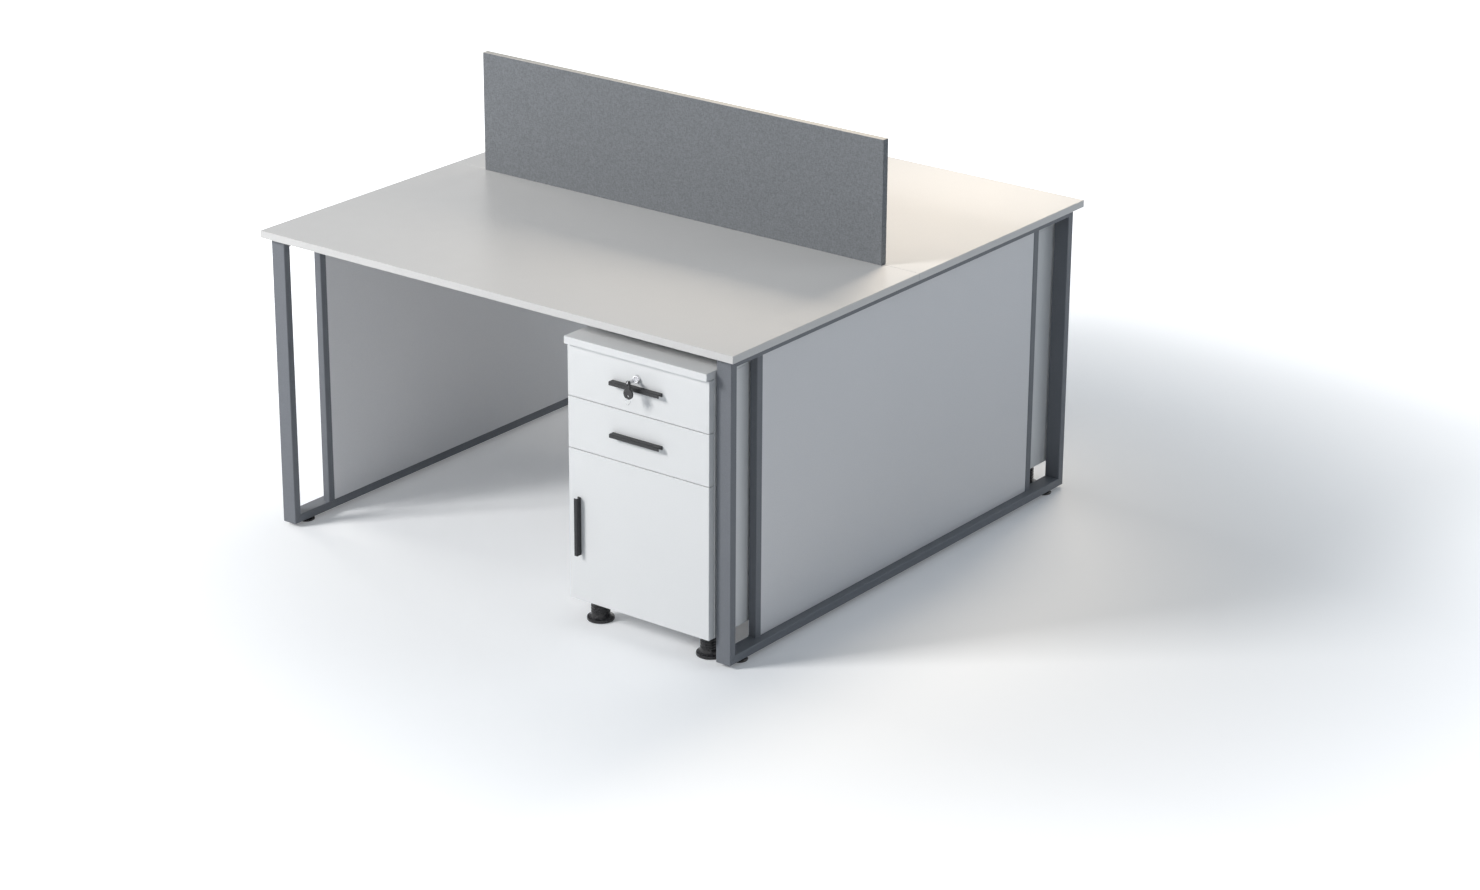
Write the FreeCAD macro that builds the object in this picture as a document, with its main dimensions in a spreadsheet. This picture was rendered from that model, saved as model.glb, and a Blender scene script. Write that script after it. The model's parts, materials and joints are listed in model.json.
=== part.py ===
import FreeCAD, Part
import math
import os
import re

import Sketcher

# A two-person metal frame desk: tube end frames, two worktops, a screen and two pedestals.
# Millimetres. The origin is on the floor under the middle; +X to the right, +Y to the back, +Z up.

SIZES = {
    # Worktops
    "desk_height": 750,
    "desk_depth": 1400,
    "worktop_width": 1400,
    "worktop_thickness": 18,
    "worktop_seam": 0.5,
    "edge_ease": 0.8,
    # End frames of mitred rectangular tube
    "frame_overhang": 18,
    "tube_width": 40,
    "tube_depth": 20,
    "tube_wall": 1.5,
    "tube_corner": 1.2,
    "inner_post": 20,
    "post_gap": 100,
    "panel_thickness": 18,
    # Levelling glides under the end frames
    "glide_height": 9,
    "glide_diameter": 42,
    "glide_top": 26,
    "glide_inset": 58,
    # Beams between the end frames and the brackets that hold them
    "beam_width": 40,
    "beam_height": 20,
    "beam_spacing": 450,
    "bracket_wall": 3,
    "bracket_length": 60,
    "bracket_leg": 16,
    "bracket_play": 0.2,
    # Screen and the steel tongues that hold it up
    "screen_length": 1200,
    "screen_height": 300,
    "screen_thickness": 18,
    "tongue_width": 60,
    "tongue_thickness": 6,
    "tongue_bite": 50,
    "tongue_spacing": 800,
    "hole_play": 0.25,
    # Pedestal boards
    "pedestal_width": 400,
    "pedestal_depth": 500,
    "pedestal_gap": 5,
    "carcass_board": 16,
    "back_board": 8,
    "front_board": 18,
    "front_air": 1,
    "front_reveal": 1,
    "front_gap": 2,
    "top_board": 18,
    "top_overhang": 11,
    "drawer_front_height": 122,
    "pedestal_headroom": 11,
    # Pedestal feet
    "foot_height": 64,
    "foot_base": 64,
    "foot_flare": 13,
    "foot_stem": 45,
    "foot_side_inset": 42,
    "foot_front_inset": 58,
    # Drawer boxes
    "drawer_wall": 12,
    "drawer_depth": 430,
    "drawer_height": 90,
    "drawer_lift": 10,
    "drawer_bottom": 5,
    "drawer_bottom_rise": 8,
    "groove_depth": 5,
    # Three-part telescopic runners
    "runner_width": 12.7,
    "runner_height": 45,
    "runner_length": 400,
    "runner_steel": 1.2,
    "runner_play": 0.5,
    "runner_setback": 4,
    # Handles
    "handle_length": 140,
    "handle_reach": 15,
    "handle_lip": 9,
    "handle_wall": 2,
    "handle_cove": 1.5,
    "handle_round": 2,
    "door_handle_inset": 30,
    # Drawer lock
    "lock_rise": 22,
    "lock_diameter": 18,
    "lock_proud": 6,
    "lock_length": 24,
    "core_diameter": 10,
    "core_play": 0.3,
    "core_recess": 1,
    "core_proud": 0.5,
    "cam_length": 30,
    "cam_width": 12,
    "cam_thickness": 2,
    "strike_wall": 2,
    "strike_drop": 18,
    "strike_leg": 25,
    "strike_width": 40,
    "strike_air": 1,
    # Folding key and its ring
    "key_reach": 32,
    "key_bite": 12,
    "key_width": 8,
    "key_thickness": 2.2,
    "key_play": 0.3,
    "key_pin": 2,
    "bow_neck": 10,
    "bow_slot_depth": 6,
    "bow_drop": 26,
    "bow_diameter": 25,
    "bow_thickness": 4,
    "ring_hole": 6,
    "ring_hole_drop": 32,
    "ring_radius": 9,
    "ring_wire": 1.8,
    "ring_play": 0.6,
    # Concealed door hinges
    "cup_diameter": 35,
    "cup_depth": 12,
    "cup_wall": 1.5,
    "cup_inset": 22.5,
    "cup_play": 0.1,
    "wing_reach": 26,
    "wing_width": 12,
    "wing_thickness": 0.8,
    "wing_overlap": 3,
    "hinge_end_inset": 75,
    "arm_width": 12,
    "arm_height": 14,
    "arm_length": 46,
    "arm_step": 12,
    "arm_rise": 9,
    "nose_air": 0.3,
    "hinge_plate": 3,
    "hinge_plate_height": 48,
    "hinge_plate_setback": 20,
}

# Places worked out from the sizes, as expressions.
FRAME_X = "(worktop_width / 2 - frame_overhang)"
FRAME_Y = "(desk_depth / 2 - frame_overhang)"
TUBE_X = f"({FRAME_X} - tube_width / 2)"
INNER_X = f"({FRAME_X} - tube_width)"
POST_X = f"({INNER_X} + inner_post / 2)"
POST_Y = f"({FRAME_Y} - tube_depth - post_gap - inner_post / 2)"
PANEL_Y = f"({FRAME_Y} - tube_depth - post_gap - inner_post)"
UNDERSIDE = "(desk_height - worktop_thickness)"
FRAME_HEIGHT = f"({UNDERSIDE} - glide_height)"
FRAME_DEPTH = f"(2 * {FRAME_Y})"
RAIL_TOP = "(glide_height + tube_depth)"
PANEL_HEIGHT = f"({FRAME_HEIGHT} - 2 * tube_depth)"
BEAM_LOW = f"({UNDERSIDE} - beam_height)"
BRACKET_LOW = f"({BEAM_LOW} - bracket_wall)"
WORKTOP_DEPTH = "((desk_depth - worktop_seam) / 2)"

# Places in a pedestal's own frame: x = 0 in the middle, y = 0 at its front face, z = 0 on the floor.
HALF = "(pedestal_width / 2)"
INSIDE = "(pedestal_width / 2 - carcass_board)"
FRONT_HALF = "(pedestal_width / 2 - front_reveal)"
CARCASS_Y = "(front_board + front_air)"
CARCASS_DEPTH = f"(pedestal_depth - {CARCASS_Y})"
CARCASS_TOP = f"({BRACKET_LOW} - pedestal_headroom - top_board)"
CARCASS_HEIGHT = f"({CARCASS_TOP} - foot_height)"
DOOR_HEIGHT = f"({CARCASS_HEIGHT} - 2 * drawer_front_height - 3 * front_gap)"
BASE_TOP = "(foot_height + carcass_board)"
LOWER_Z = f"(foot_height + {DOOR_HEIGHT} + front_gap)"
UPPER_Z = f"({LOWER_Z} + drawer_front_height + front_gap)"
BOX_HALF = f"({INSIDE} - runner_width)"
LOCK_Z = f"({UPPER_Z} + drawer_front_height / 2 + lock_rise)"
CAM_Y = "(lock_length + core_proud)"
CUP_X = f"({FRONT_HALF} - cup_inset)"

UP = FreeCAD.Vector(0, 0, 1)
ALONG_X = FreeCAD.Vector(1, 0, 0)
ALONG_Y = FreeCAD.Vector(0, 1, 0)
HALF_TURN = FreeCAD.Rotation(UP, 180)
Z_TO_BACK = FreeCAD.Rotation(ALONG_X, -90)
Z_TO_RIGHT = FreeCAD.Rotation(ALONG_Y, 90)
Z_TO_BACK_Y_UP = FreeCAD.Rotation(FreeCAD.Vector(0, 1, 1), 180)

doc = FreeCAD.newDocument("MetalFrameDesk")
sheet = doc.addObject("Spreadsheet::Sheet", "Size")


# Writes the driving dimensions into the sheet.
def fill_sheet():
    for row, (name, value) in enumerate(SIZES.items(), start=1):
        sheet.set(f"A{row}", name)
        sheet.set(f"B{row}", str(value))
        sheet.setAlias(f"B{row}", name)
    doc.recompute()


# Points every size named in an expression at its cell.
def sized(text):
    return re.sub(r"[a-z_]+", lambda word: f"Size.{word[0]}" if word[0] in SIZES else word[0], text)


# Binds properties of an object to expressions.
def bind(thing, **expressions):
    for name, text in expressions.items():
        thing.setExpression(name.replace("__", "."), sized(text))


# Sets an object's turn and binds its place.
def place(thing, x="0", y="0", z="0", turn=None):
    if turn:
        thing.Placement.Rotation = turn
    bind(thing, Placement__Base__x=x, Placement__Base__y=y, Placement__Base__z=z)
    return thing


def new_body(label):
    body = doc.addObject("PartDesign::Body", label)
    body.Label = label
    return body


# Adds a sketch on one of the body's own planes, lifted along the plane's normal.
def sketch_on(body, role, lift="0"):
    sketch = body.newObject("Sketcher::SketchObject", f"{body.Name}_sketch")
    plane = next(item for item in body.Origin.OriginFeatures if item.Role == role)
    sketch.AttachmentSupport = (plane, [""])
    sketch.MapMode = "FlatFace"
    bind(sketch, AttachmentOffset__Base__z=lift)
    return sketch


# Adds a closed loop of straight lines with each corner tied to a pair of expressions.
def add_loop(sketch, corners):
    count = len(corners)
    first = sketch.GeometryCount
    turns = [i * math.tau / count for i in range(count)]
    spots = [FreeCAD.Vector(math.cos(turn), math.sin(turn), 0) for turn in turns]
    for i in range(count):
        sketch.addGeometry(Part.LineSegment(spots[i], spots[(i + 1) % count]))
    for i, (across, along) in enumerate(corners):
        line = first + i
        sketch.addConstraint(Sketcher.Constraint("Coincident", line, 2, first + (i + 1) % count, 1))
        tie(sketch, "DistanceX", line, 1, across)
        tie(sketch, "DistanceY", line, 1, along)


# Adds a circle with its centre and diameter tied to expressions.
def add_circle(sketch, across, along, diameter):
    circle = sketch.addGeometry(Part.Circle(FreeCAD.Vector(0, 0, 0), UP, 1))
    tie(sketch, "DistanceX", circle, 3, across)
    tie(sketch, "DistanceY", circle, 3, along)
    number = sketch.addConstraint(Sketcher.Constraint("Diameter", circle, 2))
    sketch.setExpression(f"Constraints[{number}]", sized(diameter))


# Ties one coordinate of a point in a sketch to an expression.
def tie(sketch, kind, geometry, point, text):
    number = sketch.addConstraint(Sketcher.Constraint(kind, -1, 1, geometry, point, 1))
    sketch.setExpression(f"Constraints[{number}]", sized(text))


# Pads a sketch, evenly both ways or to one side.
def pad(body, sketch, length, even=True, back=False):
    feature = body.newObject("PartDesign::Pad", f"{body.Name}_pad")
    feature.Profile = sketch
    feature.SideType = "Symmetric" if even else "One side"
    feature.Reversed = back
    bind(feature, Length=length)
    return feature


# Cuts a sketch through the body, or to a depth on one side.
def cut(body, sketch, depth=None, back=False):
    doc.recompute()
    before = body.Shape.Volume
    feature = body.newObject("PartDesign::Pocket", f"{body.Name}_cut")
    feature.Profile = sketch
    if depth:
        feature.SideType = "One side"
        feature.Reversed = back
        bind(feature, Length=depth)
    else:
        feature.SideType = "Symmetric"
        feature.Type = "ThroughAll"
    doc.recompute()
    if body.Shape.Volume >= before:
        raise ValueError(f"a cut in {body.Label} removes nothing")
    return feature


# Drills round holes at the centres given.
def drill(body, role, centres, diameter, lift="0", depth=None, back=False):
    sketch = sketch_on(body, role, lift)
    for across, along in centres:
        add_circle(sketch, across, along, diameter)
    return cut(body, sketch, depth, back)


# Names the straight edges of a shape that run along a direction and pass a test on their middle point.
def edges_along(shape, direction, test=lambda middle: True):
    names = []
    for number, edge in enumerate(shape.Edges, start=1):
        run = edge.Vertexes[-1].Point - edge.Vertexes[0].Point
        straight = run.Length > 0 and run.cross(direction).Length < 1e-6 * run.Length
        if straight and test(edge.CenterOfMass):
            names.append(f"Edge{number}")
    return names


# Rounds the edges named on the body's last feature.
def round_edges(body, names, radius):
    last = body.Tip
    feature = body.newObject("PartDesign::Fillet", f"{body.Name}_round")
    feature.Base = (last, names)
    bind(feature, Radius=radius)
    doc.recompute()


# Takes the sharpness off the edges named on the body's last feature.
def bevel_edges(body, names, size):
    last = body.Tip
    feature = body.newObject("PartDesign::Chamfer", f"{body.Name}_bevel")
    feature.Base = (last, names)
    bind(feature, Size=size)
    doc.recompute()


# A board from its lowest corner, with its edges eased where they show.
def board(label, size, corner, eased=True):
    body = new_body(label)
    blank = body.newObject("PartDesign::AdditiveBox", f"{label}_blank")
    bind(blank, Length=size[0], Width=size[1], Height=size[2])
    place(body, *corner)
    doc.recompute()
    if eased:
        ease = body.newObject("PartDesign::Chamfer", f"{label}_ease")
        ease.Base = (blank, ["Edge1"])
        ease.UseAllEdges = True
        bind(ease, Size="edge_ease")
        doc.recompute()
    return body


# A turned piece about its own Z, from a half profile of radius and height.
def turned(label, profile):
    body = new_body(label)
    sketch = sketch_on(body, "XZ_Plane")
    add_loop(sketch, profile)
    feature = body.newObject("PartDesign::Revolution", f"{label}_turn")
    feature.Profile = sketch
    feature.ReferenceAxis = (sketch, ["V_Axis"])
    feature.Angle = 360
    doc.recompute()
    return body


# Four corners of a rectangle.
def rectangle(low_x, low_y, high_x, high_y):
    return [(low_x, low_y), (high_x, low_y), (high_x, high_y), (low_x, high_y)]


# Corners of a many-sided outline round a circle.
def many_sided(radius, count, along="0"):
    reach = f"{radius} / cos({180 / count} deg)"
    turns = [(i + 0.5) * 360 / count for i in range(count)]
    return [(f"{reach} * cos({turn} deg)", f"{along} + {reach} * sin({turn} deg)") for turn in turns]


# Several pieces as one named sub-part.
def group(label, pieces):
    node = doc.addObject("Part::Compound", label)
    node.Label = label
    node.Links = pieces
    return node


# A tube along its own Z with its outer face at y = 0 and both ends mitred towards the inner face.
def mitred_tube(label, length):
    body = new_body(label)
    side = sketch_on(body, "YZ_Plane")
    add_loop(side, [
        ("0", "0"), ("tube_depth", "tube_depth"), ("tube_depth", f"{length} - tube_depth"), ("0", length),
    ])
    pad(body, side, "tube_width")
    doc.recompute()
    bevel_edges(body, edges_along(body.Shape, UP), "tube_corner")
    hollow = sketch_on(body, "XY_Plane")
    add_loop(hollow, rectangle("tube_wall - tube_width / 2", "tube_wall",
                               "tube_width / 2 - tube_wall", "tube_depth - tube_wall"))
    cut(body, hollow)
    return body


# A square-ended tube: its section on one of its planes, padded along that plane's normal.
def straight_tube(label, role, width, height, length, along, even):
    body = new_body(label)
    section = sketch_on(body, role)
    add_loop(section, rectangle(f"-{width} / 2", f"-{height} / 2", f"{width} / 2", f"{height} / 2"))
    pad(body, section, length, even)
    doc.recompute()
    bevel_edges(body, edges_along(body.Shape, along), "tube_corner")
    hollow = sketch_on(body, role)
    add_loop(hollow, rectangle(f"tube_wall - {width} / 2", f"tube_wall - {height} / 2",
                               f"{width} / 2 - tube_wall", f"{height} / 2 - tube_wall"))
    cut(body, hollow)
    return body


# A welded end frame: a mitred loop of tube with two square inner posts.
def end_frame(side, sign):
    x = f"{sign}{TUBE_X}"
    front = place(mitred_tube(f"{side}_front_post", FRAME_HEIGHT), x, f"-{FRAME_Y}", "glide_height")
    rear = place(mitred_tube(f"{side}_rear_post", FRAME_HEIGHT), x, FRAME_Y, "glide_height", HALF_TURN)
    top = place(mitred_tube(f"{side}_top_rail", FRAME_DEPTH), x, f"-{FRAME_Y}", UNDERSIDE, Z_TO_BACK)
    low = mitred_tube(f"{side}_bottom_rail", FRAME_DEPTH)
    place(low, x, f"-{FRAME_Y}", "glide_height", Z_TO_BACK_Y_UP)
    pieces = [front, rear, top, low]
    for end, y in (("front", f"-{POST_Y}"), ("rear", POST_Y)):
        post = straight_tube(f"{side}_{end}_inner_post", "XY_Plane", "inner_post", "inner_post",
                             PANEL_HEIGHT, UP, even=False)
        pieces.append(place(post, f"{sign}{POST_X}", y, RAIL_TOP))
    return group(f"{side}_end_frame", pieces)


# The infill panel between the inner posts.
def side_panel(side, sign):
    middle = f"{sign}{POST_X}"
    return board(f"{side}_side_panel", ("panel_thickness", f"2 * {PANEL_Y}", PANEL_HEIGHT),
                 (f"{middle} - panel_thickness / 2", f"-{PANEL_Y}", RAIL_TOP))


# Four tapered levelling glides under the bottom rails.
def frame_glides():
    glides = []
    for side, sign in (("left", "-"), ("right", "")):
        for end, back in (("front", "-"), ("rear", "")):
            glide = turned(f"{side}_{end}_glide", [
                ("0", "0"),
                ("glide_diameter / 2", "0"),
                ("glide_top / 2", "glide_height"),
                ("0", "glide_height"),
            ])
            glides.append(place(glide, f"{sign}{TUBE_X}", f"{back}({FRAME_Y} - glide_inset)"))
    return group("frame_glides", glides)


# The rows of beams from front to back, with the place of each along Y.
BEAM_ROWS = {"front": "-beam_spacing", "middle": "0", "rear": "beam_spacing"}
# The places along X of the tongues that hold the screen.
TONGUES_X = {"left": "-tongue_spacing / 2", "right": "tongue_spacing / 2"}


# Three tubes between the end frames.
def cross_beams():
    beams = []
    for row, y in BEAM_ROWS.items():
        beam = straight_tube(f"{row}_beam", "YZ_Plane", "beam_width", "beam_height",
                             f"2 * {INNER_X}", ALONG_X, even=True)
        beams.append(place(beam, "0", y, f"{UNDERSIDE} - beam_height / 2"))
    return group("cross_beams", beams)


# Saddle brackets on the top rails, one at each end of each beam.
def beam_brackets():
    inner = "(beam_width / 2 + bracket_play)"
    outer = "(beam_width / 2 + bracket_play + bracket_wall)"
    rise = "(bracket_wall + bracket_leg)"
    brackets = []
    for row, y in BEAM_ROWS.items():
        for side, sign, turn in (("left", "-", None), ("right", "", HALF_TURN)):
            bracket = new_body(f"{side}_{row}_bracket")
            section = sketch_on(bracket, "YZ_Plane")
            add_loop(section, [
                (f"-{outer}", "0"), (outer, "0"), (outer, rise), (inner, rise), (inner, "bracket_wall"),
                (f"-{inner}", "bracket_wall"), (f"-{inner}", rise), (f"-{outer}", rise),
            ])
            pad(bracket, section, "bracket_length", even=False)
            brackets.append(place(bracket, f"{sign}{INNER_X}", y, BRACKET_LOW, turn))
    return group("beam_brackets", brackets)


# A worktop board with a notch at the seam for each of the screen's tongues.
def worktop(end):
    front = end == "front"
    low_y = "-desk_depth / 2" if front else "worktop_seam / 2"
    top = board(f"worktop_{end}", ("worktop_width", WORKTOP_DEPTH, "worktop_thickness"),
                ("-worktop_width / 2", low_y, UNDERSIDE))
    seam_y = "desk_depth / 2" if front else "(-worktop_seam / 2)"
    notches = sketch_on(top, "XY_Plane")
    for x in TONGUES_X.values():
        add_loop(notches, around_tongue(f"(worktop_width / 2 + {x})", seam_y))
    cut(top, notches)
    return top


# The rectangle that a tongue needs in a board.
def around_tongue(x, y):
    half_x = "(tongue_width / 2 + hole_play)"
    half_y = "(tongue_thickness / 2 + hole_play)"
    return rectangle(f"{x} - {half_x}", f"{y} - {half_y}", f"{x} + {half_x}", f"{y} + {half_y}")


# The screen board, standing on the seam, with a mortise for each tongue.
def screen_panel():
    panel = board("screen_panel", ("screen_length", "screen_thickness", "screen_height"),
                  ("-screen_length / 2", "-screen_thickness / 2", "desk_height"))
    mortises = sketch_on(panel, "XY_Plane")
    for x in TONGUES_X.values():
        add_loop(mortises, around_tongue(f"(screen_length / 2 + {x})", "(screen_thickness / 2)"))
    cut(panel, mortises, depth="tongue_bite", back=True)
    return panel


# Flat steel tongues that stand on the middle beam and reach up through the seam into the screen.
def screen_tongues():
    size = ("tongue_width", "tongue_thickness", "worktop_thickness + tongue_bite")
    tongues = []
    for side, x in TONGUES_X.items():
        corner = (f"{x} - tongue_width / 2", "-tongue_thickness / 2", UNDERSIDE)
        tongues.append(board(f"{side}_tongue", size, corner, eased=False))
    return group("screen_tongues", tongues)


# Carcass boards of a pedestal.
def carcass():
    side_size = ("carcass_board", CARCASS_DEPTH, CARCASS_HEIGHT)
    left = board("left_side", side_size, (f"-{HALF}", CARCASS_Y, "foot_height"))
    right = board("right_side", side_size, (INSIDE, CARCASS_Y, "foot_height"))
    base = board("base", (f"2 * {INSIDE}", CARCASS_DEPTH, "carcass_board"),
                 (f"-{INSIDE}", CARCASS_Y, "foot_height"), eased=False)
    back = board("back", (f"2 * {INSIDE}", "back_board", f"{CARCASS_HEIGHT} - carcass_board"),
                 (f"-{INSIDE}", "pedestal_depth - back_board", BASE_TOP), eased=False)
    divider = board("divider", (f"2 * {INSIDE}", f"{CARCASS_DEPTH} - back_board", "carcass_board"),
                    (f"-{INSIDE}", CARCASS_Y, f"{LOWER_Z} - carcass_board"), eased=False)
    top = board("top", ("pedestal_width", "pedestal_depth + top_overhang", "top_board"),
                (f"-{HALF}", "-top_overhang", CARCASS_TOP))
    return {"sides": [left, right], "base": [base], "back": [back], "divider": [divider], "top": [top]}


# Four plastic feet, each with a flared base and a stem.
def feet():
    pieces = []
    for end, y in (("front", "foot_front_inset"), ("rear", "pedestal_depth - foot_front_inset")):
        for side, sign in (("left", "-"), ("right", "")):
            foot = turned(f"{end}_{side}_foot", [
                ("0", "0"),
                ("foot_base / 2", "0"),
                ("foot_stem / 2", "foot_flare"),
                ("foot_stem / 2", "foot_height"),
                ("0", "foot_height"),
            ])
            pieces.append(place(foot, f"{sign}({HALF} - foot_side_inset)", y))
    return pieces


# A steel channel along Y whose web starts at one depth from the carcass and whose flanges end at another.
def channel(label, web, far, flange_end, half_height):
    body = new_body(label)
    section = sketch_on(body, "XZ_Plane")
    lip = f"({half_height} - runner_steel)"
    add_loop(section, [
        (web, f"-{half_height}"), (flange_end, f"-{half_height}"), (flange_end, f"-{lip}"), (far, f"-{lip}"),
        (far, lip), (flange_end, lip), (flange_end, half_height), (web, half_height),
    ])
    pad(body, section, "runner_length", even=False, back=True)
    return body


# The three nested members of a telescopic runner, each a pair for the two sides of a drawer.
def runners(level, drawer_z):
    nest = "(runner_steel + runner_play)"
    members = {
        "outer": ("0", "runner_steel", "runner_width - 3 * runner_steel", "runner_height / 2"),
        "middle": (nest, f"{nest} + runner_steel", "runner_width - 2 * runner_steel",
                   f"(runner_height / 2 - {nest})"),
        "inner": ("runner_width", "runner_width - runner_steel", f"2 * {nest} + runner_play",
                  f"(runner_height / 2 - 2 * {nest})"),
    }
    z = f"{drawer_z} + drawer_lift + drawer_height / 2"
    front = f"{CARCASS_Y} + runner_setback"
    pairs = {}
    for member, profile in members.items():
        left = channel(f"{level}_left_runner_{member}", *profile)
        right = channel(f"{level}_right_runner_{member}", *profile)
        place(left, f"-{INSIDE}", front, z)
        place(right, INSIDE, f"{front} + runner_length", z, HALF_TURN)
        pairs[member] = [left, right]
    return pairs


# A drawer box: two grooved sides, a bottom let into them, and a back that stands on the bottom.
def drawer_box(level, drawer_z):
    low = f"({drawer_z} + drawer_lift)"
    floor = f"({low} + drawer_bottom_rise)"
    bottom_top = "(drawer_bottom_rise + drawer_bottom)"
    pieces = []
    for side, corner_x, groove_x in (
        ("left", f"-{BOX_HALF}", "drawer_wall - groove_depth"),
        ("right", f"{BOX_HALF} - drawer_wall", "0"),
    ):
        wall = board(f"{level}_drawer_{side}", ("drawer_wall", "drawer_depth", "drawer_height"),
                     (corner_x, "front_board", low), eased=False)
        groove = sketch_on(wall, "XZ_Plane")
        add_loop(groove, rectangle(groove_x, "drawer_bottom_rise", f"{groove_x} + groove_depth", bottom_top))
        cut(wall, groove)
        pieces.append(wall)
    inner = f"({BOX_HALF} - drawer_wall)"
    wide = f"({inner} + groove_depth)"
    pieces.append(board(f"{level}_drawer_bottom", (f"2 * {wide}", "drawer_depth", "drawer_bottom"),
                        (f"-{wide}", "front_board", floor), eased=False))
    back_size = (f"2 * {inner}", "drawer_wall", f"drawer_height - {bottom_top}")
    back_corner = (f"-{inner}", "front_board + drawer_depth - drawer_wall", f"{floor} + drawer_bottom")
    pieces.append(board(f"{level}_drawer_back", back_size, back_corner, eased=False))
    return pieces


# A folded pull: a back leg on the board, a plate that reaches out and a lip that turns down.
def handle(label):
    body = new_body(label)
    section = sketch_on(body, "YZ_Plane")
    high = "(handle_lip / 2)"
    under = "(handle_lip / 2 - handle_wall)"
    cove = f"({under} - handle_cove)"
    add_loop(section, [
        ("0", high), ("-handle_reach", high), ("-handle_reach", f"-{high}"),
        ("handle_wall - handle_reach", f"-{high}"), ("handle_wall - handle_reach", cove),
        ("handle_wall + handle_cove - handle_reach", under), ("-handle_wall - handle_cove", under),
        ("-handle_wall", cove), ("-handle_wall", f"-{high}"), ("0", f"-{high}"),
    ])
    pad(body, section, "handle_length")
    doc.recompute()
    front = body.Shape.BoundBox.YMin
    crown = body.Shape.BoundBox.ZMax
    corner = FreeCAD.Vector(0, front, crown)
    nose = edges_along(body.Shape, ALONG_X, lambda middle: middle.isEqual(corner, 1e-6))
    round_edges(body, nose, "handle_round")
    return body


# A drawer front, bored for the lock where it has one.
def drawer_front(level, drawer_z, locked):
    front = board(f"{level}_drawer_front", (f"2 * {FRONT_HALF}", "front_board", "drawer_front_height"),
                  (f"-{FRONT_HALF}", "0", drawer_z))
    if locked:
        lock_at = (FRONT_HALF, "drawer_front_height / 2 + lock_rise")
        drill(front, "XZ_Plane", [lock_at], "lock_diameter + 2 * hole_play")
    return front


# The lock's barrel: a sleeve through the drawer front.
def lock_barrel():
    bore = "(core_diameter / 2 + core_play)"
    barrel = turned("barrel", rectangle(bore, "-lock_proud", "lock_diameter / 2", "lock_length"))
    return place(barrel, "0", "0", LOCK_Z, Z_TO_BACK)


# The turning core with its keyway, the cam on its tail and the key blade in it.
def lock_core():
    face = "(core_recess - lock_proud)"
    core = turned("core", [
        ("0", face), ("core_diameter / 2", face), ("core_diameter / 2", CAM_Y), ("0", CAM_Y),
    ])
    keyway = sketch_on(core, "XY_Plane", face)
    slot_x = "(key_thickness / 2 + hole_play)"
    slot_y = "(key_width / 2 + hole_play)"
    add_loop(keyway, rectangle(f"-{slot_x}", f"-{slot_y}", slot_x, slot_y))
    cut(core, keyway, depth="lock_proud - core_recess + key_bite", back=True)

    cam = new_body("cam")
    tongue = sketch_on(cam, "XY_Plane", CAM_Y)
    add_loop(tongue, [
        ("cam_width / 2", "-cam_width / 4"), ("cam_width / 2", "cam_width / 4"),
        ("cam_width / 4", "cam_width / 2"), ("-cam_length", "cam_width / 2"),
        ("-cam_length", "-cam_width / 2"), ("cam_width / 4", "-cam_width / 2"),
    ])
    pad(cam, tongue, "cam_thickness", even=False)
    for piece in (core, cam):
        place(piece, "0", "0", LOCK_Z, Z_TO_BACK)

    blade = new_body("blade")
    shank = sketch_on(blade, "YZ_Plane")
    add_loop(shank, rectangle("-key_reach", "-key_width / 2", "key_bite", "key_width / 2"))
    pad(blade, shank, "key_thickness")
    eye = sketch_on(blade, "YZ_Plane")
    add_circle(eye, "-key_reach", "0", "key_width")
    pad(blade, eye, "key_thickness")
    drill(blade, "YZ_Plane", [("-key_reach", "0")], "key_pin + 2 * key_play")
    place(blade, "0", "0", LOCK_Z)
    return [core, cam, blade]


# The bow, with two ears and the pin between them on which it folds at the end of the key blade.
def key_bow():
    bow = new_body("bow")
    disc = sketch_on(bow, "XZ_Plane")
    add_loop(disc, many_sided("bow_diameter / 2", 24, "-bow_drop"))
    pad(bow, disc, "bow_thickness")
    neck = sketch_on(bow, "XZ_Plane")
    add_loop(neck, rectangle("-bow_neck / 2", "-bow_drop", "bow_neck / 2", "0"))
    pad(bow, neck, "bow_thickness")
    crown = sketch_on(bow, "XZ_Plane")
    add_loop(crown, many_sided("bow_neck / 2", 12))
    pad(bow, crown, "bow_thickness")
    slot = sketch_on(bow, "XZ_Plane")
    slot_x = "(key_thickness / 2 + key_play)"
    add_loop(slot, rectangle(f"-{slot_x}", "-bow_slot_depth", slot_x, "bow_neck"))
    cut(bow, slot)
    drill(bow, "XZ_Plane", [("0", "-ring_hole_drop")], "ring_hole")
    pin = sketch_on(bow, "YZ_Plane")
    add_circle(pin, "0", "0", "key_pin")
    pad(bow, pin, f"2 * {slot_x} + key_pin")
    return place(bow, "0", "-key_reach", LOCK_Z)


# A many-sided ring that hangs in the bow's hole.
def key_ring():
    ring = new_body("ring")
    hoop = sketch_on(ring, "XY_Plane")
    add_loop(hoop, many_sided("(ring_radius + ring_wire / 2)", 16))
    add_loop(hoop, many_sided("(ring_radius - ring_wire / 2)", 16))
    pad(ring, hoop, "ring_wire")
    hang = "ring_hole_drop + ring_hole / 2 - ring_wire / 2 - ring_play + ring_radius"
    return place(ring, "0", "-key_reach", f"{LOCK_Z} - ({hang})", Z_TO_RIGHT)


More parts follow.
